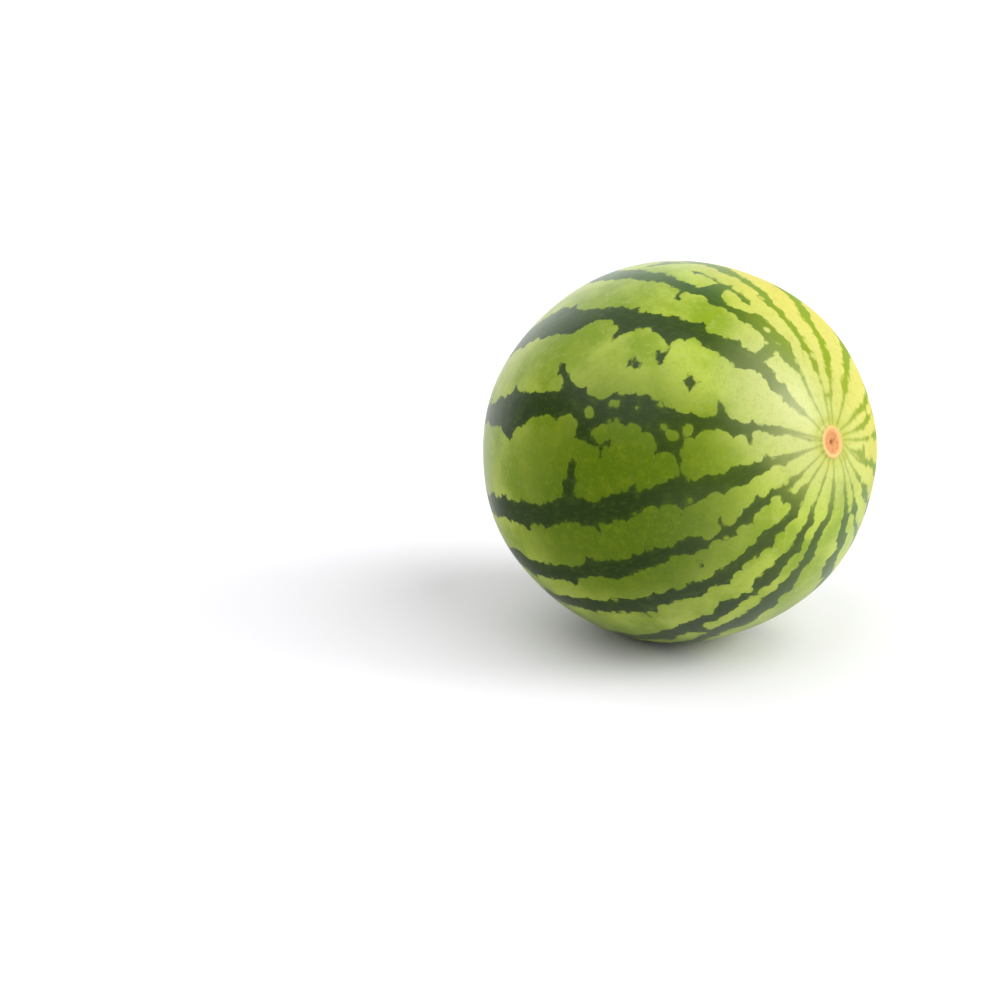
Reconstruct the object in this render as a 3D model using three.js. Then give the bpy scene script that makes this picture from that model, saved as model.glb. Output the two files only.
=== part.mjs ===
// A whole ripe watermelon of the small round kind, lying on its side as it comes to rest on a
// table: millimetres, +Z up, origin at the middle of the small flat spot it rests on.
// The fruit's axis lies in the XZ plane, and its blossom end points to +X and a little upwards.
// The fruit grew as one piece, so it is one solid: the corky scars at its two ends are relief on
// the same skin. Its stripes are colour alone and have no shape here.

import * as THREE from "three";

// Driving dimensions: millimetres, and degrees where the name says so.
const LENGTH = 190.8; // from the blossom end to the stem end
const GIRTH_DIAMETER = 180; // across the widest ring, half way along
const AXIS_TILT_DEG = 15.9; // the blossom end's rise above level

// Gentle swellings that run from end to end, as the rind follows the flesh inside it.
const RIB_COUNT = 7;
const RIB_HEIGHT = 0.5; // of a crest above the mean surface, half way along
const FIRST_RIB_DEG = 1; // a crest's place round the axis, from the top towards -Y

// The small flat spot under the fruit.
const FLAT_DEPTH = 1.5; // how much of the round underside the spot takes off
const FLAT_EASE = 0.5; // height over which the rind eases out of the flat

// The button that the flower left: a corky disc with a low rim and a pit in the middle.
const BUTTON_RIM_RADIUS = 6.7;
const BUTTON_RIM_HEIGHT = 0.55;
const BUTTON_RIM_WIDTH = 0.8;
const BUTTON_FACE_DEPTH = 0.45;
const BUTTON_FACE_RADIUS = 5.7;
const BUTTON_PIT_DEPTH = 1.1;
const BUTTON_PIT_RADIUS = 1.1;
const BUTTON_COLLAR_RADIUS = 9;
const BUTTON_COLLAR_DEPTH = 0.35;
const BUTTON_COLLAR_WIDTH = 1.5;

// The stem end: a shallow dimple round the ring of cork where the stem came away.
const DIMPLE_DEPTH = 2.6;
const DIMPLE_RADIUS = 15;
const STEM_RING_RADIUS = 4.6;
const STEM_RING_HEIGHT = 1.5;
const STEM_RING_WIDTH = 1.3;
const STEM_PIT_DEPTH = 1.4;
const STEM_PIT_RADIUS = 2.2;

// Fineness of the faceted skin.
const SEGMENTS_ROUND = 72;
const BODY_STEPS = 34;
const SCAR_REACH_DEG = 15; // how far from each end the fine rings of a scar reach
const SCAR_STEPS = 12;
const SCAR_CROWDING = 1.15; // power that draws a scar's rings in towards the axis
const ON_AXIS_SINE = 1e-9; // below this a point counts as on the axis

const HALF_LENGTH = LENGTH / 2;
const HALF_GIRTH = GIRTH_DIAMETER / 2;
const TILT = THREE.MathUtils.degToRad(AXIS_TILT_DEG);

// A smooth bump of height 1 at 0 that fades out over a few widths.
const bump = (distance, width) => Math.exp(-((distance / width) ** 2));

// Height of the button's relief above the skin, at a distance from the axis.
function buttonRelief(radius) {
  const rim = BUTTON_RIM_HEIGHT * bump(radius - BUTTON_RIM_RADIUS, BUTTON_RIM_WIDTH);
  const face = BUTTON_FACE_DEPTH * bump(radius, BUTTON_FACE_RADIUS);
  const pit = BUTTON_PIT_DEPTH * bump(radius, BUTTON_PIT_RADIUS);
  const collar = BUTTON_COLLAR_DEPTH * bump(radius - BUTTON_COLLAR_RADIUS, BUTTON_COLLAR_WIDTH);
  return rim - face - pit - collar;
}

// Height of the stem end's relief above the skin, at a distance from the axis.
function stemRelief(radius) {
  const dimple = DIMPLE_DEPTH * bump(radius, DIMPLE_RADIUS / 2);
  const ring = STEM_RING_HEIGHT * bump(radius - STEM_RING_RADIUS, STEM_RING_WIDTH);
  const pit = STEM_PIT_DEPTH * bump(radius, STEM_PIT_RADIUS);
  return ring - dimple - pit;
}

// Angles from the stem end to the blossom end at which the outline has a point: evenly spaced
// over the body, and closer and closer together on the way in to each scar.
function outlineAngles() {
  const reach = THREE.MathUtils.degToRad(SCAR_REACH_DEG);
  const scar = Array.from({ length: SCAR_STEPS }, (_, i) => reach * (i / SCAR_STEPS) ** SCAR_CROWDING);
  const body = Array.from(
    { length: BODY_STEPS + 1 },
    (_, i) => reach + ((Math.PI - 2 * reach) * i) / BODY_STEPS,
  );
  const blossomScar = scar.map((angle) => Math.PI - angle).reverse();
  return [...scar, ...body, ...blossomScar];
}

// The outline that turns about Y: from the stem end at the bottom to the blossom end at the top.
function outline() {
  return outlineAngles().map((angle) => {
    const sine = Math.sin(angle);
    const radius = HALF_GIRTH * sine;
    const height = -HALF_LENGTH * Math.cos(angle);
    const relief = angle < Math.PI / 2 ? stemRelief(radius) : buttonRelief(radius);
    const onAxis = sine < ON_AXIS_SINE;
    const outwards = new THREE.Vector2(radius / HALF_GIRTH ** 2, height / HALF_LENGTH ** 2);
    const point = new THREE.Vector2(radius, height).addScaledVector(outwards.normalize(), relief);
    return onAxis ? new THREE.Vector2(0, point.y) : point;
  });
}

// Swells the turned body into its ribs, which die away towards both ends.
function raiseRibs(geometry) {
  const firstRib = THREE.MathUtils.degToRad(FIRST_RIB_DEG);
  const { position } = geometry.attributes;
  for (let i = 0; i < position.count; i++) {
    const x = position.getX(i);
    const z = position.getZ(i);
    const radius = Math.hypot(x, z);
    const round = Math.atan2(z, -x); // 0 at the top of the laid-down fruit, 90 degrees at -Y
    const rib = RIB_HEIGHT * Math.cos(RIB_COUNT * (round - firstRib));
    const share = 1 + (rib * (radius / HALF_GIRTH) ** 2) / HALF_GIRTH;
    position.setX(i, x * share);
    position.setZ(i, z * share);
  }
}

// Lays the fruit down: its axis from +Y to +X and up by the tilt, its top from -X to up, and its
// lowest point FLAT_DEPTH below the surface that it will rest on.
function layDown(geometry) {
  const axis = new THREE.Vector3(Math.cos(TILT), 0, Math.sin(TILT));
  const top = new THREE.Vector3(-Math.sin(TILT), 0, Math.cos(TILT));
  const side = new THREE.Vector3(0, -1, 0);
  const lowest = Math.hypot(HALF_LENGTH * Math.sin(TILT), HALF_GIRTH * Math.cos(TILT));
  const shift = (HALF_LENGTH ** 2 - HALF_GIRTH ** 2) * Math.sin(TILT) * Math.cos(TILT);
  geometry.applyMatrix4(new THREE.Matrix4().makeBasis(top.negate(), axis, side));
  geometry.translate(shift / lowest, 0, lowest - FLAT_DEPTH);
}

// Presses the underside up to the surface z = 0, easing from the round into the flat.
function flattenUnderside(geometry) {
  const { position } = geometry.attributes;
  for (let i = 0; i < position.count; i++) {
    const z = position.getZ(i);
    if (z <= -FLAT_EASE) position.setZ(i, 0);
    else if (z < FLAT_EASE) position.setZ(i, (z + FLAT_EASE) ** 2 / (4 * FLAT_EASE));
  }
}

function watermelon() {
  const geometry = new THREE.LatheGeometry(outline(), SEGMENTS_ROUND);
  raiseRibs(geometry);
  layDown(geometry);
  flattenUnderside(geometry);
  geometry.computeVertexNormals();
  const rind = new THREE.MeshStandardMaterial({ color: 0x7f9e3c, roughness: 0.42, metalness: 0 });
  const mesh = new THREE.Mesh(geometry, rind);
  mesh.name = "watermelon";
  return mesh;
}

const fruit = new THREE.Group();
fruit.add(watermelon());

export default fruit;
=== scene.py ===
"""A whole small round watermelon, lying on a pale floor in soft studio light.

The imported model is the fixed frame. The fruit is one piece, which stands for the frame's solid and
keeps its shape: a turned body with seven gentle ribs, the cork button at the blossom end, the
shallow dimple at the stem end and the small flat spot that it rests on. Its stripes are colour.

Places on the skin are given as on a globe, in degrees: how far from the blossom end, and how far
round from the top towards the side that faces the viewer. Lengths are in metres, and where a name
ends in _mm, in millimetres.
"""

import math
import random
from typing import NamedTuple

import bmesh
import bpy
import numpy as np
from bpy.props import FloatProperty, FloatVectorProperty, IntProperty, PointerProperty
from mathutils import Matrix, Vector


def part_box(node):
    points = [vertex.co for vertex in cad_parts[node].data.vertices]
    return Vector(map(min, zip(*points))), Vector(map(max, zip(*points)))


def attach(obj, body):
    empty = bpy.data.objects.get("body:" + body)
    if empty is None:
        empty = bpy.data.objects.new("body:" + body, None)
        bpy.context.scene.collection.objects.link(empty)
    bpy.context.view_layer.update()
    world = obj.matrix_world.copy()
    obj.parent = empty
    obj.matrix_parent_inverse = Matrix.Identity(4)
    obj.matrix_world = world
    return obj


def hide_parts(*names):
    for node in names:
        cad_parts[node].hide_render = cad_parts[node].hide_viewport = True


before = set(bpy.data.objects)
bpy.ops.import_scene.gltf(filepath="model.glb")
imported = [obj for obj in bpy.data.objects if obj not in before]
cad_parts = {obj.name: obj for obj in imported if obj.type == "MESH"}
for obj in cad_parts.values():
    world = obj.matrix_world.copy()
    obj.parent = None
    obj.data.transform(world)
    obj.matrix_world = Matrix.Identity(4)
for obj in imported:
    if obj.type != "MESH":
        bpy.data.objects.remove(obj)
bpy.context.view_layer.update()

bl_info = {
    "name": "Watermelon",
    "version": (1, 0, 0),
    "blender": (4, 5, 0),
    "location": "3D View > Sidebar > Watermelon",
    "description": "Models a whole round watermelon, its finish and a plain studio round it",
    "category": "Object",
}

NODE = "watermelon"
BODY = "root"
IMAGE_SIDE = 1000
CLIP_START = 0.01
MM = 0.001
STRIPE_ATTRIBUTE = "stripe_mm"
LOBE_ATTRIBUTE = "lobe_share"

# ------------------------------------------------------------------------------------------------
# Sizes and colours that a user would change


def box_girth():
    """The fruit's width across its axis, as the frame has it."""
    low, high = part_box(NODE)
    return high.y - low.y


def length_property(name, description, default):
    return FloatProperty(name=name, description=description, default=default, unit="LENGTH", precision=5)


def angle_property(name, description, degrees):
    return FloatProperty(
        name=name, description=description, default=math.radians(degrees), subtype="ANGLE",
    )


def colour_property(name, description, red, green, blue):
    """A colour, given as it looks on a screen, from 0 to 255."""
    return FloatVectorProperty(
        name=name, description=description, default=screen_colour(red, green, blue),
        subtype="COLOR", size=4, min=0, max=1,
    )


def screen_colour(red, green, blue):
    """A colour's strength in light, from its values on a screen."""
    def light(value):
        share = value / 255
        return share / 12.92 if share <= 0.04045 else ((share + 0.055) / 1.055) ** 2.4

    return (light(red), light(green), light(blue), 1)


class MelonShape(bpy.types.PropertyGroup):
    """The body's driving dimensions."""

    length: length_property("Length", "From the blossom end to the stem end", 0.1908)
    girth: length_property("Girth", "Across the widest ring", round(box_girth(), 4))
    tilt: angle_property("Tilt", "The blossom end's rise above level", 15.9)
    rib_count: IntProperty(name="Ribs", description="Gentle swellings from end to end", default=7)
    rib_height: length_property("Rib height", "A crest above the mean surface", 0.0005)
    first_rib: angle_property("First rib", "A crest's place round from the top", 1)
    flat_depth: length_property("Flat depth", "How much the flat spot takes off", 0.0015)
    flat_ease: length_property("Flat ease", "Height over which the rind eases out of the flat", 0.0005)


class MelonScars(bpy.types.PropertyGroup):
    """The cork scars at the two ends."""

    button_radius: length_property("Button radius", "From the axis to the button's rim", 0.0067)
    button_rim: length_property("Button rim", "Height of the button's rim", 0.00055)
    button_rim_width: length_property("Rim width", "Width of the button's rim", 0.0008)
    button_face: length_property("Button face", "Depth of the face inside the rim", 0.00045)
    button_pit: length_property("Button pit", "Depth of the pit in the middle", 0.0011)
    button_pit_radius: length_property("Button pit radius", "Radius of the pit in the middle", 0.0011)
    collar_radius: length_property("Collar radius", "Of the faint groove round the button", 0.009)
    collar_depth: length_property("Collar depth", "Of the faint groove round the button", 0.00035)
    collar_width: length_property("Collar width", "Of the faint groove round the button", 0.0015)
    dimple_depth: length_property("Dimple depth", "Of the stem end's dimple", 0.0026)
    dimple_radius: length_property("Dimple radius", "Of the stem end's dimple", 0.015)
    stem_radius: length_property("Stem ring radius", "Of the cork ring that the stem left", 0.0046)
    stem_ring: length_property("Stem ring height", "Of the cork ring that the stem left", 0.0015)
    stem_ring_width: length_property("Stem ring width", "Of the cork ring", 0.0013)
    stem_pit: length_property("Stem pit", "Depth inside the ring", 0.0014)
    stem_pit_radius: length_property("Stem pit radius", "Radius of the pit inside the ring", 0.0022)


class MelonColours(bpy.types.PropertyGroup):
    """The finish's colours."""

    fresh: colour_property("Fresh green", "Light rind at its greenest", 116, 140, 18)
    pale: colour_property("Pale green", "Light rind at its palest", 158, 174, 62)
    olive: colour_property("Olive", "Light rind where it yellows", 150, 150, 8)
    dusty: colour_property("Dusty green", "Specks and clouds on the light rind", 152, 166, 88)
    # deep: dark flecks on the light rind, and painted shade on one side of it.
    deep: colour_property("Deep green", "Light rind on the side turned to the sun", 79, 102, 2)
    # blossom: the rind's own paler colour near the blossom end, partly also a painted sheen.
    blossom: colour_property("Blossom yellow", "Light rind near the blossom end", 171, 175, 104)
    field: colour_property("Field yellow", "Light rind where the fruit lay on the field", 187, 177, 82)
    blush: colour_property("Blush", "Flecks on the field spot", 214, 160, 84)
    stripe: colour_property("Stripe green", "A dark stripe", 49, 86, 10)
    # stripe_deep: dark grain in the stripes, and painted shade on the stripes of that same side.
    stripe_deep: colour_property("Deep stripe", "A dark stripe on the side turned to the sun", 35, 53, 8)
    stripe_rim: colour_property("Stripe rim", "The edge of a dark stripe", 78, 100, 10)
    stripe_pale: colour_property("Pale stripe", "A stripe on the field spot", 112, 134, 0)
    cork: colour_property("Button face", "Cork inside the button's rim", 184, 128, 80)
    cork_rim: colour_property("Button rim", "The button's smooth rim", 222, 162, 104)
    cork_dark: colour_property("Button pits", "The pits and dots of the button", 120, 70, 32)
    stem_cork: colour_property("Stem cork", "The stem end's ring", 142, 112, 70)


class StudioSettings(bpy.types.PropertyGroup):
    """Where the camera stands and how the studio is lit."""

    lens: FloatProperty(name="Lens", description="Focal length in millimetres", default=85)
    sensor: FloatProperty(name="Sensor", description="Width of the sensor in millimetres", default=36)
    azimuth: angle_property("Azimuth", "The camera's way round the fruit", 46.16)
    elevation: angle_property("Elevation", "How far the camera looks down", 19.1)
    distance: length_property("Distance", "From the camera to the plane of the fruit's centre", 1.119)
    centre_x: FloatProperty(name="Centre X", description="Pixel column of the centre", default=677.4)
    centre_y: FloatProperty(name="Centre Y", description="Pixel row of the centre", default=452.0)
    floor_size: length_property("Floor size", "Side of the square floor", 14)
    floor: colour_property("Floor", "The plain floor", 220, 219, 222)
    room_back: FloatProperty(name="Room behind", description="Light from behind the fruit", default=1.7)
    room_front: FloatProperty(name="Room in front", description="Light from in front of it", default=0.2)


# ------------------------------------------------------------------------------------------------
# The fruit's own directions


class Fruit:
    """The fruit's axis, centre and half sizes, in the frame's metres."""

    def __init__(self, shape):
        self.half_length = shape.length / 2
        self.half_girth = shape.girth / 2
        sine = math.sin(shape.tilt)
        cosine = math.cos(shape.tilt)
        self.axis = Vector((cosine, 0, sine))
        self.top = Vector((-sine, 0, cosine))
        self.side = Vector((0, -1, 0))
        lowest = math.hypot(self.half_length * sine, self.half_girth * cosine)
        shift = (self.half_length**2 - self.half_girth**2) * sine * cosine / lowest
        self.centre = Vector((shift, 0, lowest - shape.flat_depth))

    def globe(self, points):
        """How far from the blossom end and how far round the points are, in degrees."""
        offset = points - np.array(self.centre)
        along = offset @ np.array(self.axis) / self.half_length
        up = offset @ np.array(self.top) / self.half_girth
        aside = offset @ np.array(self.side) / self.half_girth
        return np.degrees(np.arctan2(np.hypot(up, aside), along)), np.degrees(np.arctan2(aside, up))

    def direction(self, from_blossom, turn):
        """The direction from the centre towards a place on the skin."""
        far = math.radians(from_blossom)
        turned = math.radians(turn)
        across = self.top * math.cos(turned) + self.side * math.sin(turned)
        return (self.axis * math.cos(far) + across * math.sin(far)).normalized()


# ------------------------------------------------------------------------------------------------
# Stripes: where they run, read along each one from the blossom end


class Stripe(NamedTuple):
    """A dark stripe: its place at the stem end, its usual width there, and its two edges."""

    stem_turn: float
    width_mm: float
    edges: tuple  # of (degrees from the blossom end, left edge, right edge), both in degrees round


class Blot(NamedTuple):
    """A patch or a link, dark or light, from one place on the skin to another."""

    start: tuple  # degrees from the blossom end, degrees round
    end: tuple
    radius_mm: float
    end_radius_mm: float


STRIPES = (
    Stripe(-6, 5, (
        (5, -8, -3), (10, -8.5, -6.5), (15, -10.5, -8.5), (20, -10.5, -7.5), (24, -10.5, -6.5),
        (28, -12, -5), (33, -11.5, -5), (38, -9, -6), (47, -9, -6), (51, -11, -6), (60, -10, -6),
        (67, -13, -6), (75, -12, -6),
    )),
    Stripe(14, 9, (
        (5, 15, 20), (10, 14, 16.5), (15, 12.5, 15.5), (20, 7.5, 13.5), (25, 6, 13.5), (30, 3, 13.5),
        (33, 3, 14), (38, 4, 14), (42, 5, 14), (44, 9.5, 14), (50, 11.5, 15), (54, 11, 15), (56, 3, 15),
        (58.5, 4, 15), (60.5, 12, 16), (66, 11, 15.5), (73, 10, 15.5), (80, 9, 15.5), (88, 8, 16),
        (96, 6, 14),
    )),
    Stripe(36, 11, (
        (5, 39, 44), (10, 37.5, 40.5), (15, 34, 43), (18, 32, 44), (22, 29.5, 39), (25, 30, 37),
        (28, 28, 35.5), (31, 26.5, 35), (34, 27, 37.5), (37, 27.5, 37), (40, 25, 36.5), (43, 27, 36),
        (48, 28, 35), (50, 27.5, 34), (53, 27.5, 37), (55, 28, 38.5), (59, 29, 37.5), (63, 29.5, 37),
        (67, 30, 38.5), (70, 30.5, 40), (73, 30.5, 38), (76, 30, 35.5), (80, 31, 36.5), (85, 30.5, 40),
        (88, 31, 41.5), (95, 29, 41), (97, 27, 41), (102, 29, 41), (110, 30, 41), (118, 30, 41),
    )),
    Stripe(62, 11, (
        (5, 64, 68), (10, 65.5, 68.5), (15, 64.5, 70), (20, 65, 71.5), (25, 64.5, 71.5), (29, 65, 73),
        (33, 64.5, 75), (35, 64, 71), (38, 64, 71), (41, 66, 71), (43, 66.5, 75), (46, 66, 75),
        (48, 65.5, 77), (51, 65, 78), (53, 64.5, 74), (55, 63, 70.5), (58, 60.5, 70), (62, 60, 69.5),
        (66, 61.5, 69), (69, 63, 69), (71.5, 62.5, 72), (73, 61.5, 73), (76, 61, 69.5), (79, 59.5, 67.5),
        (83, 61, 68.5), (88, 61.5, 67.5), (93, 60.5, 67.5), (98, 60, 69), (101, 59, 71.5), (105, 58, 73),
        (109, 59, 68), (116, 59, 67), (124, 58, 66),
    )),
    Stripe(92, 10, (
        (5, 89, 93), (10, 90, 93.5), (15, 90.5, 95.5), (20, 90, 96.5), (25, 90, 97), (32, 90.5, 98.5),
        (40, 91.5, 98.5), (46, 91, 98.5), (48, 90, 98.5), (53, 90.5, 99), (57, 91.5, 98.5),
        (60, 91, 98.5), (64, 91, 100), (68, 92, 99.5), (74, 93.5, 100), (78, 92, 100), (84, 92, 99),
    )),
    Stripe(114, 10, (
        (5, 112, 116), (10, 113, 115.5), (15, 113.5, 117.5), (20, 113.5, 120), (25, 111, 116.5),
        (30, 111, 117.5), (36, 114.5, 120.5), (41, 115.5, 120), (45, 116.5, 120), (51, 114, 120),
        (56, 113.5, 118), (61, 112, 118), (66, 112.5, 118.5), (71, 113, 119), (76, 112, 118.5),
        (80, 111, 117.5), (85, 113, 117),
    )),
    Stripe(132, 9, (
        (5, 133, 137), (10, 129.5, 132.5), (15, 129.5, 133.5), (18, 126, 136), (21, 128, 138.5),
        (25, 132.5, 141), (28, 132.5, 138), (31, 131, 137), (38, 131, 138), (45, 131.5, 137),
        (51, 132, 139), (56, 131, 136.5), (60, 130, 135.5), (65, 130.5, 134.5), (70, 129.5, 135),
        (75, 128.5, 135), (80, 128, 134), (87, 127, 133), (97, 126, 132),
    )),
    Stripe(150, 9, (
        (5, 153, 157), (10, 151, 154), (15, 150.5, 154), (20, 150, 155.5), (25, 150.5, 157),
        (30, 151, 157), (33, 151, 157.5), (36, 149.5, 155), (43, 148, 157), (46, 148, 155),
        (49, 150, 153.5), (53, 148, 152.5), (57, 144, 152), (62, 148, 152), (67, 146, 151),
        (71, 146, 155), (75, 147, 152), (84, 147, 154),
    )),
    Stripe(172, 9, (
        (5, 172, 176), (10, 172.5, 175.5), (16, 171, 177), (21, 170.5, 178), (26, 167, 172),
        (30, 165.5, 171), (34, 165, 173), (40, 162.5, 170), (47, 161, 171), (50, 160, 168),
        (53, 160, 170.5), (58, 158.5, 167), (64, 156.5, 168), (69, 156, 163), (76, 158, 164),
        (84, 160, 168),
    )),
    Stripe(196, 9, (
        (5, 203, 207), (9, 201, 203), (15, 195.5, 199), (20, 193.5, 198.5), (25, 190.5, 198.5),
        (30, 190.5, 197), (35, 193, 200), (39, 187, 197), (44, 188, 197), (51, 193, 199), (56, 193, 199),
    )),
    Stripe(212, 4, ((5, 219, 222), (10, 209, 211.5), (16, 207.5, 210), (30, 206, 209), (40, 210, 214))),
    Stripe(229, 9, (
        (5, 232, 236), (10, 222, 224.5), (15, 220.5, 224), (20, 220.5, 225), (25, 221, 226),
        (31, 222, 227.5), (38, 223, 228),
    )),
    Stripe(248, 10, (
        (5, 250, 254), (9, 238, 240.5), (14, 235, 238), (18, 236.5, 242), (24, 240, 246),
        (30, 240.5, 247),
    )),
    Stripe(266, 5, ((5, 263, 266), (10, 260.5, 262.5), (16, 259.5, 261.5), (30, 261, 265))),
    Stripe(283, 7, ((5, 277, 281), (10, 273.5, 276), (17, 271.5, 276), (21, 274, 276.5), (36, 274, 276))),
    Stripe(298, 9, (
        (5, 296, 300), (10, 289.5, 293), (15, 287, 292), (19, 285, 291.5), (25, 282, 287), (36, 283, 287),
    )),
    Stripe(316, 10, (
        (5, 318, 322), (10, 315.5, 318.5), (15, 312, 318), (20, 310.5, 319), (25, 310, 317),
        (30, 308.5, 316), (36, 306, 313), (42, 303, 311.5),
    )),
    Stripe(336, 9, (
        (5, 337, 341), (10, 341, 343.5), (15, 335.5, 340), (20, 333.5, 339.5), (26, 331.5, 337.5),
        (32, 330, 337.5), (40, 331.5, 337.5), (48, 329, 336), (55, 326, 334),
    )),
)

DARK_BLOTS = (
    # links between stripes
    Blot((32, 13), (32.5, 28), 2.2, 2.6),
    Blot((22, 120), (21, 130), 2.0, 2.6),
    Blot((13.5, 341), (13.5, 350), 0.9, 0.5),
    Blot((4.3, 74), (9, 74), 0.25, 0.35),
    Blot((9, 74), (15, 69), 0.4, 0.6),
    Blot((16, 243), (14, 246), 2.0, 1.4),
    Blot((18, 243), (17, 254), 1.5, 0.9),
    Blot((9, 244), (16, 243), 0.5, 1.0),
    Blot((54.2, 71), (52, 78), 2.2, 2.0),
    Blot((46.8, 74), (48, 79), 1.8, 1.7),
    Blot((52, 78), (48.6, 79.4), 1.9, 1.6),
    Blot((48.6, 79.4), (47.6, 83), 1.6, 1.1),
    Blot((47.6, 83), (47.5, 91), 1.0, 1.3),
    # spurs that reach from a stripe into a light band
    Blot((28.5, 72), (27.6, 78), 1.6, 0.9),
    Blot((36, 65), (37.4, 58), 2.6, 0.8),
    Blot((56.3, 37), (55.2, 42.2), 1.4, 0.8),
    Blot((55, 43.6), (56.4, 46.6), 1.3, 1.5),
    Blot((71, 39), (71.5, 44), 1.5, 0.5),
    Blot((70.8, 30), (69.8, 29), 0.4, 0.3),
    Blot((24, 88), (24.5, 92), 0.9, 1.4),
    Blot((74.4, 66), (74.1, 73.4), 3.6, 3.2),
    Blot((73, 75), (69, 77.2), 1.7, 1.1),
    Blot((69, 77.2), (69.4, 80), 1.1, 0.9),
    Blot((69, 77.2), (67.4, 76), 0.9, 0.7),
    Blot((79.5, 61), (84.6, 52.8), 2.3, 1.3),
    Blot((84, 68), (84, 70.5), 0.9, 0.4),
    Blot((78.5, 82), (79.5, 88), 1.9, 2.2),
    Blot((80, 88), (81, 93), 2.0, 1.6),
    Blot((74.2, 100), (74, 103.8), 1.2, 0.5),
    Blot((41.5, 111), (41, 115), 0.5, 1.0),
    Blot((72, 152), (70, 158), 1.8, 1.8),
    Blot((77, 135), (77, 138), 1.2, 0.6),
    Blot((63, 15.5), (62.8, 19.5), 1.6, 0.5),
    Blot((57, 3.5), (48.5, 3), 1.4, 0.5),
    Blot((58, 3.5), (68, 2.8), 0.9, 0.4),
    Blot((55.5, 0.5), (56, 4), 0.8, 1.6),
    Blot((74, -5), (83, 5), 1.8, 1.6),
)

# small dark islands in the light bands
ISLANDS = (
    Blot((47.7, 49.6), (46.3, 53), 0.3, 1.6),
    Blot((46.3, 53), (45.8, 57), 1.8, 0.5),
    Blot((45.7, 52.8), (47.1, 53.8), 0.8, 0.9),
    Blot((63.2, 48), (62, 51.2), 0.5, 1.3),
    Blot((52.6, 124), (52.8, 125.4), 0.3, 0.1),
    Blot((50.4, 103.2), (50.4, 104.2), 0.3, 0.1),
)

LIGHT_BLOTS = (
    Blot((32, 9.3), (32.5, 9.6), 1.3, 1.0),
    Blot((37, 8.6), (37.6, 8.8), 1.0, 0.8),
    Blot((37, 73.2), (38.6, 74), 2.6, 2.8),
    Blot((44.6, 72), (44.7, 72.4), 2.2, 2.2),
    Blot((51.6, 71), (49, 74.4), 1.9, 2.4),
    Blot((59.2, 64.8), (59.4, 65), 1.3, 1.2),
    Blot((66.2, 63.5), (65, 63.8), 1.7, 1.5),
    Blot((72.9, 66.7), (73, 67), 2.2, 2.2),
    Blot((69.6, 58), (69.5, 61.4), 3.2, 2.8),
    Blot((59, 91), (59.2, 91.4), 1.9, 1.8),
)

STRIPE_SEED = 11

# A stripe from where its list ends to the stem end, in degrees where no unit is named.
TAIL_STEP = 7
TAIL_STEP_SPREAD = (0.7, 1.1)
TAIL_END = 173
TAIL_SWAY_MM = 1.1
TAIL_SWAY_KEPT = 0.6  # share of a step's sway that the next step keeps
TAIL_WIDTH_SPREAD = (0.72, 1.28)
TAIL_LEAN = 0.25  # most that both edges shift together, as a share of half the width
TAIL_TAPER = 45  # the stretch over which a stripe narrows towards the stem end
TAIL_TIP_WIDTH = 0.22  # its width at the end of the taper, as a share of its usual width
STEM_HALF_WIDTH = 4

# How the fields of stripes and blots join, and where their edges break into lobes.
OUTSIDE_MM = -20.0  # where no stripe is near
FIELD_LIMITS_MM = (-12, 8)
RING_LIMITS = (3, 176)  # degrees from the blossom end: nearer the ends a stripe keeps its width
LINK_MM = 1.2
BLOT_REACH_MM = 1.5
LOBE_LIMITS = (8, 172)  # degrees from the blossom end between which the edges have lobes
LOBE_FADE = 16  # degrees over which the lobes grow to their full size
LOBE_FADE_POWER = 1.2
BLOT_CALM = 0.6  # share of the lobes that is missing at a blot
ISLAND_CALM = 0.85


def random_tail(stripe, girth_mm, rng):
    """The edges of a stripe from where the list ends to the stem end, drawn in its own manner."""
    last, left, right = stripe.edges[-1]
    start = (left + right) / 2
    rows = []
    place = last + TAIL_STEP
    sway = 0
    while place < TAIL_END:
        share = (place - last) / (TAIL_END - last)
        ring_mm = math.radians(girth_mm / 2) * math.sin(math.radians(place))
        sway = TAIL_SWAY_KEPT * sway + rng.uniform(-TAIL_SWAY_MM, TAIL_SWAY_MM) / ring_mm
        centre = start + (stripe.stem_turn - start) * share + sway
        narrowing = min(1, TAIL_TIP_WIDTH + (TAIL_END - place) / TAIL_TAPER)
        half = stripe.width_mm / 2 * narrowing * rng.uniform(*TAIL_WIDTH_SPREAD) / ring_mm
        lean = rng.uniform(-TAIL_LEAN, TAIL_LEAN) * half
        rows.append((place, centre - half + lean, centre + half + lean))
        place += TAIL_STEP * rng.uniform(*TAIL_STEP_SPREAD)
    rows.append((180, stripe.stem_turn - STEM_HALF_WIDTH, stripe.stem_turn + STEM_HALF_WIDTH))
    return rows


def eased(places, rows, column):
    """A column of the rows at the given places, with a rounded step from each row to the next."""
    at = np.array([row[0] for row in rows], float)
    value = np.array([row[column] for row in rows], float)
    index = np.clip(np.searchsorted(at, places) - 1, 0, len(at) - 2)
    share = np.clip((places - at[index]) / (at[index + 1] - at[index]), 0, 1)
    share = 0.5 * share + 0.5 * (1 - np.cos(np.pi * share)) / 2
    return value[index] * (1 - share) + value[index + 1] * share


def joined(first, second, width):
    """The greater of two fields, with a rounded inner corner where they meet."""
    near = np.clip(0.5 + 0.5 * (first - second) / width, 0, 1)
    return second * (1 - near) + first * near + width * near * (1 - near)


def wrapped(degrees):
    return (degrees + 180) % 360 - 180


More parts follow.
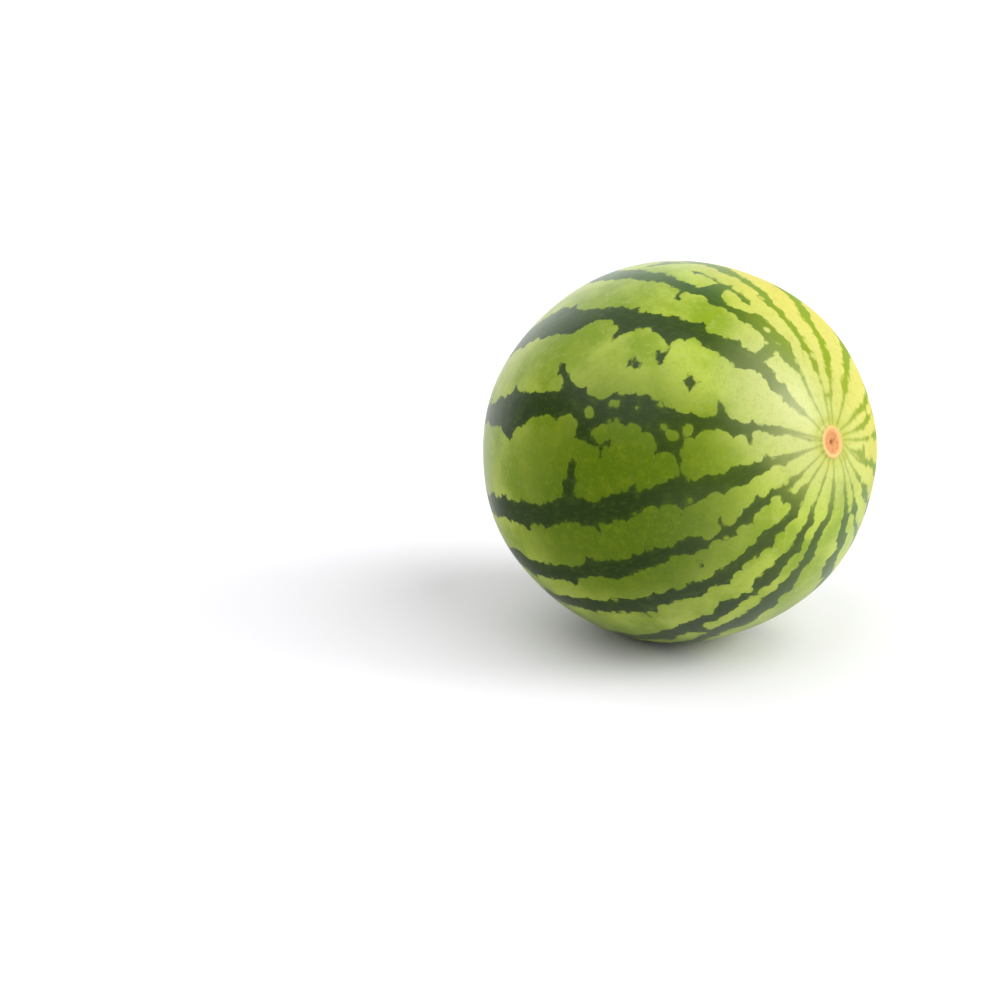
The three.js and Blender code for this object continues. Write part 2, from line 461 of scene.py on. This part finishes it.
def blot_field(blot, from_blossom, turn, girth_mm):
    """How deep in a blot each place is, in millimetres, and below 0 outside it."""
    middle = math.radians((blot.start[0] + blot.end[0]) / 2)
    degree_mm = math.radians(girth_mm / 2)
    ring_mm = degree_mm * math.sin(middle)
    down = (from_blossom - blot.start[0]) * degree_mm
    across = wrapped(turn - blot.start[1]) * ring_mm
    end_down = (blot.end[0] - blot.start[0]) * degree_mm
    end_across = (blot.end[1] - blot.start[1]) * ring_mm
    length_squared = end_down**2 + end_across**2
    share = np.clip((down * end_down + across * end_across) / length_squared, 0, 1)
    distance = np.hypot(down - share * end_down, across - share * end_across)
    return blot.radius_mm + share * (blot.end_radius_mm - blot.radius_mm) - distance


def stripe_field(from_blossom, turn, girth_mm):
    """How deep in a dark stripe each place on the skin is, in millimetres, and below 0 outside."""
    rng = random.Random(STRIPE_SEED)
    ring_mm = math.radians(girth_mm / 2) * np.sin(np.radians(np.clip(from_blossom, *RING_LIMITS)))
    field = np.full(len(turn), OUTSIDE_MM)
    for stripe in STRIPES:
        rows = list(stripe.edges) + random_tail(stripe, girth_mm, rng)
        left = eased(from_blossom, rows, 1)
        right = eased(from_blossom, rows, 2)
        offset = wrapped(turn - (left + right) / 2)
        field = joined(field, ((right - left) / 2 - np.abs(offset)) * ring_mm, LINK_MM)
    for blot in DARK_BLOTS + ISLANDS:
        field = joined(field, blot_field(blot, from_blossom, turn, girth_mm), LINK_MM)
    for blot in LIGHT_BLOTS:
        field = -joined(-field, blot_field(blot, from_blossom, turn, girth_mm), LINK_MM / 2)
    return np.clip(field, *FIELD_LIMITS_MM)


def nearness(blots, from_blossom, turn, girth_mm):
    """How near each place is to one of the blots: 1 inside, fading to 0 at their reach."""
    depths = [blot_field(blot, from_blossom, turn, girth_mm) for blot in blots]
    return np.clip(1 + np.max(depths, axis=0) / BLOT_REACH_MM, 0, 1)


def lobe_share(from_blossom, turn, girth_mm):
    """How freely the stripes' edges break into lobes: fully over the body, less at ends and blots."""
    first, last = LOBE_LIMITS
    ends = np.clip(np.minimum(from_blossom - first, last - from_blossom) / LOBE_FADE, 0, 1)
    at_blot = nearness(DARK_BLOTS + LIGHT_BLOTS, from_blossom, turn, girth_mm)
    at_island = nearness(ISLANDS, from_blossom, turn, girth_mm)
    return ends**LOBE_FADE_POWER * (1 - BLOT_CALM * at_blot) * (1 - ISLAND_CALM * at_island)


# ------------------------------------------------------------------------------------------------
# Modelling helpers


def select_all(action):
    bpy.ops.mesh.select_all(action=action)


def select_faces(piece, wanted):
    """Selects the faces whose middle passes a test, and no others."""
    select_all("DESELECT")
    mesh = bmesh.from_edit_mesh(piece.data)
    for face in mesh.faces:
        if wanted(face.calc_center_median()):
            face.select_set(True)
    bmesh.update_edit_mesh(piece.data)


def bump(distance, width):
    """A smooth bump of height 1 at 0 that fades out over a few widths."""
    return np.exp(-((distance / width) ** 2))


def positions(piece):
    """The piece's points as an array."""
    points = np.empty(len(piece.data.vertices) * 3)
    piece.data.vertices.foreach_get("co", points)
    return points.reshape(-1, 3)


def push(piece, heights, direction):
    """Moves each point by its own height, along the normal or an axis, with applied modifiers."""
    for sign in (1, -1):
        parts = np.clip(heights * sign, 0, None)
        limit = float(parts.max())
        if limit <= 0:
            continue
        group = piece.vertex_groups.new(name="push")
        for index in np.nonzero(parts > 0)[0]:
            group.add([int(index)], float(parts[index] / limit), "REPLACE")
        modifier = piece.modifiers.new("push", "DISPLACE")
        modifier.vertex_group = group.name
        modifier.direction = direction
        modifier.mid_level = 0
        modifier.strength = sign * limit
        bpy.ops.object.modifier_apply(modifier=modifier.name)
        piece.vertex_groups.clear()


def write_attribute(piece, name, values):
    attribute = piece.data.attributes.new(name, "FLOAT", "POINT")
    attribute.data.foreach_set("value", values.astype(np.float32))


# ------------------------------------------------------------------------------------------------
# The fruit's mesh

SEGMENTS = 400
RINGS = 200
SCAR_STEP = 0.00055  # from one ring of a scar to the next
BLOSSOM_CAP_DEG = 9  # how far from each end its scar's rings begin
STEM_CAP_DEG = 12.6
BUTTON_FACE_SHARE = 0.85  # radius of the button's hollow face, as a share of the rim's


def button_relief(scars, radius):
    """Height of the blossom end's button above the body, at a distance from the axis."""
    rim = scars.button_rim * bump(radius - scars.button_radius, scars.button_rim_width)
    face = scars.button_face * bump(radius, scars.button_radius * BUTTON_FACE_SHARE)
    pit = scars.button_pit * bump(radius, scars.button_pit_radius)
    collar = scars.collar_depth * bump(radius - scars.collar_radius, scars.collar_width)
    return rim - face - pit - collar


def stem_relief(scars, radius):
    """Height of the stem end's relief above the body, at a distance from the axis."""
    dimple = scars.dimple_depth * bump(radius, scars.dimple_radius / 2)
    ring = scars.stem_ring * bump(radius - scars.stem_radius, scars.stem_ring_width)
    pit = scars.stem_pit * bump(radius, scars.stem_pit_radius)
    return ring - dimple - pit


def shape_end(piece, fruit, cap_degrees, sign, relief):
    """Turns one end's cap into rings, each inset from the last and raised to the end's outline."""
    cap_height = fruit.half_length * math.cos(math.radians(cap_degrees))
    select_faces(piece, lambda middle: middle.z * sign > cap_height)
    bpy.ops.mesh.dissolve_faces()
    radius = fruit.half_girth * math.sin(math.radians(cap_degrees))

    def height(at):
        return fruit.half_length * math.sqrt(1 - (at / fruit.half_girth) ** 2) + relief(at)

    level = cap_height
    while radius > 1.5 * SCAR_STEP:
        smaller = radius - SCAR_STEP
        bpy.ops.mesh.inset(thickness=SCAR_STEP, depth=height(smaller) - level)
        level = height(smaller)
        radius = smaller
    bpy.ops.mesh.poke(offset=0)


def model_fruit(shape, scars):
    """The watermelon as one closed mesh, in place."""
    fruit = Fruit(shape)
    bpy.ops.object.select_all(action="DESELECT")
    bpy.ops.mesh.primitive_uv_sphere_add(
        segments=SEGMENTS, ring_count=RINGS, radius=fruit.half_girth, calc_uvs=False, location=(0, 0, 0),
    )
    piece = bpy.context.object
    piece.name = "watermelon_skin"
    bpy.ops.object.mode_set(mode="EDIT")
    select_all("SELECT")
    stretch = fruit.half_length / fruit.half_girth
    bpy.ops.transform.resize(value=(1, 1, stretch), center_override=(0, 0, 0))
    shape_end(piece, fruit, BLOSSOM_CAP_DEG, 1, lambda at: button_relief(scars, at))
    shape_end(piece, fruit, STEM_CAP_DEG, -1, lambda at: stem_relief(scars, at))
    select_all("SELECT")
    lean = math.pi / 2 - shape.tilt
    bpy.ops.transform.rotate(value=-lean, orient_axis="Y", center_override=(0, 0, 0))
    bpy.ops.transform.translate(value=fruit.centre)
    bpy.ops.object.mode_set(mode="OBJECT")
    raise_ribs(piece, shape, fruit)
    press_underside(piece, shape)
    paint_stripes(piece, shape, fruit)
    bpy.ops.object.shade_smooth()
    return piece


def raise_ribs(piece, shape, fruit):
    """Swells the body into its ribs, which die away towards both ends."""
    from_blossom, turn = fruit.globe(positions(piece))
    ring = np.sin(np.radians(from_blossom)) ** 2
    wave = np.cos(shape.rib_count * (np.radians(turn) - shape.first_rib))
    push(piece, shape.rib_height * ring * wave, "NORMAL")


def press_underside(piece, shape):
    """Presses the underside up to the floor, easing from the round into the flat."""
    height = positions(piece)[:, 2]
    ease = shape.flat_ease
    pressed = np.where(height < ease, (height + ease) ** 2 / (4 * ease), height)
    pressed[height <= -ease] = 0
    push(piece, pressed - height, "Z")


def paint_stripes(piece, shape, fruit):
    """Writes the stripes' field, which the finish reads, on the mesh."""
    from_blossom, turn = fruit.globe(positions(piece))
    girth_mm = shape.girth / MM
    write_attribute(piece, STRIPE_ATTRIBUTE, stripe_field(from_blossom, turn, girth_mm))
    write_attribute(piece, LOBE_ATTRIBUTE, lobe_share(from_blossom, turn, girth_mm))


# ------------------------------------------------------------------------------------------------
# Shader maths as expressions


class Value:
    """A node's output. Sums, products and comparisons of it add Math nodes."""

    def __init__(self, shade, socket):
        self.shade = shade
        self.socket = socket

    def __add__(self, other):
        return self.shade.maths("ADD", self, other)

    def __sub__(self, other):
        return self.shade.maths("SUBTRACT", self, other)

    def __rsub__(self, other):
        return self.shade.maths("SUBTRACT", other, self)

    def __mul__(self, other):
        return self.shade.maths("MULTIPLY", self, other)

    def __truediv__(self, other):
        return self.shade.maths("DIVIDE", self, other)

    def __pow__(self, other):
        return self.shade.maths("POWER", self, other)

    __radd__ = __add__
    __rmul__ = __mul__


def new_material(name):
    material = bpy.data.materials.new(name)
    material.use_nodes = True
    return material


class Shade:
    """A node tree under construction. Each call adds one node and gives its output."""

    def __init__(self, tree):
        self.tree = tree
        self.tree.nodes.clear()

    def add(self, kind, settings=None, inputs=None, output=0):
        """Adds a node of any kind: its settings first, then the values or links of its sockets."""
        node = self.tree.nodes.new(kind)
        for name, value in (settings or {}).items():
            setattr(node, name, value)
        for name, value in (inputs or {}).items():
            if isinstance(value, Value):
                self.tree.links.new(value.socket, node.inputs[name])
            else:
                node.inputs[name].default_value = value
        return Value(self, node.outputs[output]) if len(node.outputs) else node

    def maths(self, operation, first, second):
        return self.add("ShaderNodeMath", {"operation": operation}, {0: first, 1: second})

    def vector(self, operation, first, second, output=0):
        return self.add("ShaderNodeVectorMath", {"operation": operation}, {0: first, 1: second}, output)

    def scaled(self, vector, factor):
        return self.add("ShaderNodeVectorMath", {"operation": "SCALE"}, {0: vector, "Scale": factor})

    def ramp(self, value, low, high, to_low=0, to_high=1):
        """A smooth step from one number to another as the value goes from low to high."""
        if low > high:
            low, high, to_low, to_high = high, low, to_high, to_low
        return self.add(
            "ShaderNodeMapRange", {"interpolation_type": "SMOOTHSTEP"},
            {"Value": value, "From Min": low, "From Max": high, "To Min": to_low, "To Max": to_high},
        )

    def mix(self, share, first, second):
        """A colour between two."""
        return self.add("ShaderNodeMix", {"data_type": "RGBA"}, {0: share, 6: first, 7: second}, 2)

    def noise(self, place, grain_mm, detail=2.0, roughness=0.5):
        """Soft noise from about 0 to 1, whose largest grains are grain_mm across."""
        return self.add(
            "ShaderNodeTexNoise", {},
            {"Vector": place, "Scale": 1 / grain_mm, "Detail": detail, "Roughness": roughness},
        )

    def cells(self, place, cell_mm, feature="F1"):
        """Distance in millimetres from the nearest of scattered points, or from their borders."""
        found = self.add(
            "ShaderNodeTexVoronoi", {"feature": feature, "voronoi_dimensions": "3D"},
            {"Vector": place, "Scale": 1 / cell_mm}, "Distance",
        )
        return found * cell_mm


# ------------------------------------------------------------------------------------------------
# The rind's finish


class Side(NamedTuple):
    """A side of the fruit, which fades in from where the skin's direction nears the side's own."""

    from_blossom: float  # degrees
    turn: float  # degrees
    faint: float  # cosine of the angle between the directions where the side begins
    full: float  # and where it has its full strength


FIELD_SPOT = Side(52, -60, 0.5, 0.88)  # where the fruit lay on the field
# Painted shade: towards this side the rind and its stripes are painted a deeper, darker green.
PAINTED_SHADE_SIDE = Side(66, 96, 0.66, 0.99)
PAINTED_SHADE_STRIPES = PAINTED_SHADE_SIDE._replace(faint=0, full=0.7)
# Paler towards the blossom end: partly the rind's own paling, partly a painted sheen.
PALE_CAP_AND_SHEEN = Side(14, -8, 0.8, 0.985)
RUBBED_SIDE = Side(86, 100, 0.72, 0.95)  # where the waxy sheen is worn off

STREAK_RADIUS_MM = 60  # the finish's streaks are noise on a tube of this radius,
STREAK_SQUEEZE = 0.3  # drawn out along the axis
WARP_MM = 2.4  # how far patches are pushed about to make their outlines uneven
WARP_SCALE = 0.16


class RindPlaces:
    """Where a point of the skin is, as the parts of the finish need it, in millimetres."""

    def __init__(self, shade, fruit):
        self.shade = shade
        self.fruit = fruit
        coordinates = shade.add("ShaderNodeTexCoord", {}, {}, "Object")
        offset = shade.vector("SUBTRACT", coordinates, tuple(fruit.centre))
        self.mm = shade.scaled(offset, 1 / MM)
        self.heading = shade.vector("NORMALIZE", self.mm, (0, 0, 0))
        self.field_side = self.nearing(FIELD_SPOT)
        self.painted_shade_side = self.nearing(PAINTED_SHADE_SIDE)
        self.pale_cap_and_sheen = self.nearing(PALE_CAP_AND_SHEEN)
        self.rubbed_side = self.nearing(RUBBED_SIDE)

        axis = tuple(fruit.axis)
        self.along = shade.vector("DOT_PRODUCT", self.mm, axis, "Value")
        lengthwise = shade.scaled(axis, self.along)
        across = shade.vector("SUBTRACT", self.mm, lengthwise)
        self.radius = shade.vector("LENGTH", across, (0, 0, 0), "Value")
        self.aside = shade.vector("DOT_PRODUCT", across, tuple(fruit.side), "Value")

        outward = shade.scaled(shade.vector("NORMALIZE", across, (0, 0, 0)), STREAK_RADIUS_MM)
        self.streak = shade.vector("ADD", outward, shade.scaled(axis, self.along * STREAK_SQUEEZE))
        wobble = shade.add(
            "ShaderNodeTexNoise", {}, {"Vector": self.mm, "Scale": WARP_SCALE, "Detail": 2}, "Color",
        )
        centred = shade.vector("SUBTRACT", wobble, (0.5, 0.5, 0.5))
        self.warped = shade.vector("ADD", self.mm, shade.scaled(centred, WARP_MM))

    def nearing(self, side):
        """The strength of a side, from 0 to 1."""
        middle = tuple(self.fruit.direction(side.from_blossom, side.turn))
        cosine = self.shade.vector("DOT_PRODUCT", self.heading, middle, "Value")
        return self.shade.ramp(cosine, side.faint, side.full)


LARGE_LOBE_MM = 11
SMALL_LOBE_MM = 5.2
CRUMB_MM = 2.3
LOBE_HEIGHT_MM = 3.2
CUSP_WIDTH_MM = 0.8
CUSP_HEIGHT_MM = 0.4
STRIPE_SWELL_MM = 0.3  # widens the stripes where their edges have lobes
MEAN_SQUARE_NEAR = 0.33  # what the lobes take off so that the stripes keep their mean width


def lobes(shade, place, cell_mm, height_mm):
    """Round bumps side by side: lowest in the middle of each, with sharp ridges where they meet."""
    near = shade.cells(place, cell_mm) / cell_mm
    return (near * near - MEAN_SQUARE_NEAR) * height_mm


def stripe_edge(shade, places):
    """The stripes' field, with the light rind's edges broken into round lobes, in millimetres."""
    field = shade.add("ShaderNodeAttribute", {"attribute_name": STRIPE_ATTRIBUTE}, {}, "Fac")
    share = shade.add("ShaderNodeAttribute", {"attribute_name": LOBE_ATTRIBUTE}, {}, "Fac")
    large = lobes(shade, places.warped, LARGE_LOBE_MM, LOBE_HEIGHT_MM)
    small = lobes(shade, places.warped, SMALL_LOBE_MM, LOBE_HEIGHT_MM)
    crumbs = lobes(shade, places.mm, CRUMB_MM, 0.6) + (shade.noise(places.mm, 1.0, 2, 0.6) - 0.5) * 0.3
    borders = shade.cells(places.warped, SMALL_LOBE_MM, "DISTANCE_TO_EDGE")
    cusps = shade.ramp(borders, CUSP_WIDTH_MM, 0, 0, CUSP_HEIGHT_MM)
    return field + share * (large + small + crumbs + cusps + STRIPE_SWELL_MM)


def light_rind(shade, places, look, edge):
    """Colour of the light rind: green patches, yellow on the field spot, painted shade on one side, and a
    partly painted sheen near the blossom end.
    """
    broad = shade.noise(places.mm, 30, 3, 0.5)
    patch = shade.noise(places.warped, 7, 4, 0.62)
    cloud = shade.noise(places.warped, 3.2, 4, 0.65)
    fleck = shade.noise(places.mm, 1.3, 3, 0.6)
    green = shade.mix(shade.ramp(broad, 0.36, 0.64), look.fresh, look.pale)
    green = shade.mix(shade.ramp(edge, -3.5, -9) * 0.2, green, look.fresh)
    green = shade.mix(shade.ramp(cloud, 0.5, 0.3) * 0.45, green, look.dusty)
    # painted shade: a deeper green towards one side
    green = shade.mix(places.painted_shade_side, green, look.deep)
    green = shade.mix(shade.ramp(patch, 0.48, 0.68) * 0.12, green, look.olive)
    yellow = shade.mix(shade.ramp(cloud, 0.54, 0.7) * 0.7, look.field, look.blush)
    light = shade.mix(places.field_side * 0.85, green, yellow)
    # paler near the blossom end: partly the rind's own colour, partly painted sheen
    light = shade.mix(places.pale_cap_and_sheen * (0.95 - places.field_side * 0.55), light, look.blossom)
    light = shade.mix(shade.ramp(cloud, 0.5, 0.72) * 0.3, light, look.fresh)
    light = shade.mix(shade.ramp(fleck, 0.5, 0.74) * 0.2, light, look.deep)
    return shade.mix(shade.ramp(fleck, 0.48, 0.26) * 0.12, light, look.dusty)


def stripe_colour(shade, places, look, edge, light):
    """Colour of the stripes: dark green, paler at the edges and field spot, paler towards the blossom end
    partly as a painted sheen, and painted shade on one side.
    """
    tone = shade.noise(places.warped, 6, 3, 0.6)
    grain = shade.noise(places.streak, 1.1, 3, 0.65)
    # painted shade: the stripes darken towards the same side
    stripe = shade.mix(places.nearing(PAINTED_SHADE_STRIPES), look.stripe, look.stripe_deep)
    stripe = shade.mix(shade.ramp(edge, 2.6, 0.2) * 0.16, stripe, look.stripe_rim)
    stripe = shade.mix(shade.ramp(tone, 0.48, 0.72) * 0.16, stripe, look.stripe_rim)
    stripe = shade.mix(shade.ramp(grain, 0.5, 0.74) * 0.06, stripe, look.dusty)
    stripe = shade.mix(shade.ramp(grain, 0.5, 0.28) * 0.5, stripe, look.stripe_deep)
    stripe = shade.mix(places.field_side * 0.9, stripe, look.stripe_pale)
    stripe = shade.mix(shade.ramp(places.along, 45, 88) * 0.12, stripe, look.fresh)
    paling = 1 - places.field_side * 0.7
    # on this line and the next the stripes pale towards the blossom end: partly their own fading, partly
    # painted sheen
    stripe = shade.mix(places.pale_cap_and_sheen * paling * 0.24, stripe, light)
    return shade.mix(shade.ramp(places.along, 85, 94.5) * paling * 0.38, stripe, light)


def rind_finish(look, fruit):
    """The skin's finish: light rind, stripes, cork scars and a waxy sheen."""
    material = new_material("melon_rind")
    shade = Shade(material.node_tree)
    places = RindPlaces(shade, fruit)
    edge = stripe_edge(shade, places)
    light = light_rind(shade, places, look, edge)
    stripe = stripe_colour(shade, places, look, edge, light)
    softness = places.field_side * 0.5 + shade.ramp(places.along, 84, 93, 0, 0.25) + 0.48
    swollen = edge + shade.ramp(places.along, 88, 94, 0, 0.12)
    colour = shade.mix(shade.ramp(swollen / softness, -1, 1), light, stripe)

    colour, cork = cork_scars(shade, places, look, colour)
    mottle = shade.noise(places.mm, 2.2, 4, 0.65)
    roughness = 0.26 + mottle * 0.12 + cork * 0.4
    grain = shade.noise(places.mm, 0.7, 3, 0.6)
    dents = shade.noise(places.mm, 7, 2, 0.5)
    height = grain * 0.05 + dents * 0.3 + cork * shade.noise(places.mm, 0.9, 3, 0.7) * 0.5
    normal = shade.add(
        "ShaderNodeBump", {}, {"Strength": 0.5, "Distance": MM, "Height": height}, "Normal",
    )
    waxy = shade.add(
        "ShaderNodeBsdfPrincipled", {},
        {"Base Color": colour, "Roughness": roughness, "Normal": normal, "Specular IOR Level": 0.24},
        "BSDF",
    )
    dull = shade.add(
        "ShaderNodeBsdfPrincipled", {},
        {"Base Color": colour, "Roughness": 0.6, "Normal": normal, "Specular IOR Level": 0.02},
        "BSDF",
    )
    dullness = shade.maths("MAXIMUM", places.field_side * 0.9, places.rubbed_side * 0.7)
    surface = shade.add("ShaderNodeMixShader", {}, {0: dullness, 1: waxy, 2: dull})
    shade.add("ShaderNodeOutputMaterial", {}, {"Surface": surface})
    return material


# Distances from the axis, in millimetres, between which one thing turns into the next.
COLLAR_MM = (16, 8)  # the yellower rind round the button
BUTTON_MM = (7.7, 6.9)
BUTTON_FACE_MM = (6.4, 4.4)
BUTTON_PIT_MM = (1.7, 0.5)
STEM_CORK_MM = (7.3, 6.6)
STEM_PIT_MM = (3.2, 1.2)

BUTTON_NARROWING = 0.32  # makes the button's outline a little longer than it is wide
BUTTON_RAGGED_MM = 0.9
STEM_TORN_MM = 3


def button_cork(shade, places, look, ragged):
    """Colour of the button: a smooth rim, a face with pores and blotches, and a dark pit."""
    face = shade.ramp(ragged, *BUTTON_FACE_MM)
    pores = shade.ramp(shade.cells(places.mm, 1.8), 0.8, 0.25)
    mottle = shade.ramp(shade.noise(places.mm, 1.5, 3, 0.6), 0.5, 0.72)
    cork = shade.mix(face, look.cork_rim, look.cork)
    cork = shade.mix(pores * face * 0.4, cork, look.cork_dark)
    cork = shade.mix(mottle * face * 0.4, cork, look.cork_dark)
    return shade.mix(shade.ramp(ragged, *BUTTON_PIT_MM) * 0.85, cork, look.cork_dark)


def stem_bark(shade, places, look):
    """Colour of the stem end's rough cork, which darkens into its pit."""
    blotches = shade.ramp(shade.noise(places.mm, 1.3, 4, 0.7), 0.42, 0.64)
    bark = shade.mix(blotches * 0.55, look.stem_cork, look.cork_dark)
    return shade.mix(shade.ramp(places.radius, *STEM_PIT_MM) * 0.7, bark, look.cork_dark)


def cork_scars(shade, places, look, colour):
    """The skin's colour with both scars on it, and where they are."""
    at_blossom = shade.ramp(places.along, 0, 1)
    at_stem = 1 - at_blossom
    collar = shade.ramp(places.radius, *COLLAR_MM) * at_blossom
    colour = shade.mix(collar * 0.35, colour, look.olive)
    oval = (places.radius * places.radius + places.aside * places.aside * BUTTON_NARROWING) ** 0.5
    ragged = oval + (shade.noise(places.mm, 2.4, 3, 0.6) - 0.5) * BUTTON_RAGGED_MM
    button = shade.ramp(ragged, *BUTTON_MM) * at_blossom
    colour = shade.mix(button, colour, button_cork(shade, places, look, ragged))
    torn = places.radius + (shade.noise(places.mm, 3.5, 4, 0.65) - 0.5) * STEM_TORN_MM
    stem = shade.ramp(torn, *STEM_CORK_MM) * at_stem
    return shade.mix(stem, colour, stem_bark(shade, places, look)), button + stem


# ------------------------------------------------------------------------------------------------
# The stage


def view_axes(studio):
    """The camera's right, up and backward directions."""
    turn = studio.azimuth
    rise = studio.elevation
    right = Vector((math.cos(turn), math.sin(turn), 0))
    back = Vector((math.sin(turn) * math.cos(rise), -math.cos(turn) * math.cos(rise), math.sin(rise)))
    return right, back.cross(right), back


def add_camera(studio, fruit):
    """The camera, which sees the fruit's centre at its pixel and from its distance."""
    right, up, back = view_axes(studio)
    focal_pixels = studio.lens / studio.sensor * IMAGE_SIDE
    aside = (studio.centre_x - IMAGE_SIDE / 2) / focal_pixels * studio.distance
    above = (IMAGE_SIDE / 2 - studio.centre_y) / focal_pixels * studio.distance
    place = fruit.centre - right * aside - up * above + back * studio.distance
    data = bpy.data.cameras.new("camera")
    data.lens = studio.lens
    data.sensor_width = studio.sensor
    data.clip_start = CLIP_START
    camera = bpy.data.objects.new("camera", data)
    camera.matrix_world = Matrix.Translation(place) @ Matrix((right, up, back)).transposed().to_4x4()
    bpy.context.scene.collection.objects.link(camera)
    bpy.context.scene.camera = camera


class Softbox(NamedTuple):
    """A round diffuser so far off that it lights the whole floor alike. Angles are in degrees."""

    name: str
    around: float  # round the fruit from the camera's side
    above: float
    width: float
    brightness: float


SOFTBOXES = (
    Softbox("left_light", -65, 55, 75, 1.5),
    Softbox("right_light", 65, 36, 72, 3.1),
    Softbox("window_light", 82, 29, 26, 8.2),
)


def lamp_way(studio, around, above):
    """The direction of a lamp, in degrees round the fruit from the camera's side and above it."""
    turn = studio.azimuth + math.radians(around)
    rise = math.radians(above)
    return Vector((math.sin(turn) * math.cos(rise), -math.cos(turn) * math.cos(rise), math.sin(rise)))


def add_softbox(studio, softbox):
    """Adds a softbox as a sun of the same width: its energy is what a sheet facing it receives."""
    way = lamp_way(studio, softbox.around, softbox.above)
    data = bpy.data.lights.new(softbox.name, "SUN")
    data.angle = math.radians(softbox.width)
    data.energy = softbox.brightness * math.pi * math.sin(data.angle / 2) ** 2
    lamp = bpy.data.objects.new(softbox.name, data)
    lamp.location = way
    lamp.rotation_mode = "QUATERNION"
    lamp.rotation_quaternion = way.to_track_quat("Z", "Y")
    bpy.context.scene.collection.objects.link(lamp)


def add_floor(studio):
    bpy.ops.object.select_all(action="DESELECT")
    bpy.ops.mesh.primitive_plane_add(size=studio.floor_size, location=(0, 0, 0))
    floor = bpy.context.object
    floor.name = "floor"
    material = new_material("plain_floor")
    shade = Shade(material.node_tree)
    surface = shade.add(
        "ShaderNodeBsdfPrincipled", {},
        {"Base Color": studio.floor, "Roughness": 0.6, "Specular IOR Level": 0.2}, "BSDF",
    )
    shade.add("ShaderNodeOutputMaterial", {}, {"Surface": surface})
    floor.data.materials.append(material)


def light_room(studio):
    """White light from all round, brighter behind the fruit than in front of it."""
    world = bpy.data.worlds.new("room")
    world.use_nodes = True
    shade = Shade(world.node_tree)
    way = shade.add("ShaderNodeTexCoord", {}, {}, "Generated")
    towards_back = shade.vector("DOT_PRODUCT", way, tuple(lamp_way(studio, 180, 0)), "Value")
    strength = shade.ramp(towards_back, 0.3, 0.9, studio.room_front, studio.room_back)
    background = shade.add("ShaderNodeBackground", {}, {"Color": (1, 1, 1, 1), "Strength": strength})
    shade.add("ShaderNodeOutputWorld", {}, {"Surface": background})
    bpy.context.scene.world = world
    bpy.context.scene.view_settings.view_transform = "Standard"


# ------------------------------------------------------------------------------------------------
# Operators and panel


class MELON_OT_fruit(bpy.types.Operator):
    """Models the watermelon and gives it its finish"""

    bl_idname = "melon.fruit"
    bl_label = "Watermelon"

    def execute(self, context):
        scene = context.scene
        piece = model_fruit(scene.melon_shape, scene.melon_scars)
        piece.data.materials.append(rind_finish(scene.melon_colours, Fruit(scene.melon_shape)))
        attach(piece, BODY)
        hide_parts(NODE)
        return {"FINISHED"}


class MELON_OT_stage(bpy.types.Operator):
    """Adds the camera, the floor and the soft studio light"""

    bl_idname = "melon.stage"
    bl_label = "Stage"

    def execute(self, context):
        scene = context.scene
        studio = scene.melon_studio
        add_camera(studio, Fruit(scene.melon_shape))
        add_floor(studio)
        light_room(studio)
        for softbox in SOFTBOXES:
            add_softbox(studio, softbox)
        return {"FINISHED"}


class MELON_PT_panel(bpy.types.Panel):
    """Lists the steps that make the watermelon and its stage"""

    bl_label = "Watermelon"
    bl_idname = "MELON_PT_panel"
    bl_space_type = "VIEW_3D"
    bl_region_type = "UI"
    bl_category = "Watermelon"

    def draw(self, context):
        for operator in OPERATORS:
            self.layout.operator(operator.bl_idname)


OPERATORS = (MELON_OT_fruit, MELON_OT_stage)
SETTINGS = {
    "melon_shape": MelonShape,
    "melon_scars": MelonScars,
    "melon_colours": MelonColours,
    "melon_studio": StudioSettings,
}


def register():
    for group in SETTINGS.values():
        bpy.utils.register_class(group)
    for name, group in SETTINGS.items():
        setattr(bpy.types.Scene, name, PointerProperty(type=group))
    for operator in OPERATORS:
        bpy.utils.register_class(operator)
    bpy.utils.register_class(MELON_PT_panel)


def unregister():
    bpy.utils.unregister_class(MELON_PT_panel)
    for operator in reversed(OPERATORS):
        bpy.utils.unregister_class(operator)
    for name in SETTINGS:
        delattr(bpy.types.Scene, name)
    for group in reversed(SETTINGS.values()):
        bpy.utils.unregister_class(group)


def main():
    register()
    bpy.ops.melon.stage()
    bpy.ops.melon.fruit()


if __name__ == "__main__":
    main()
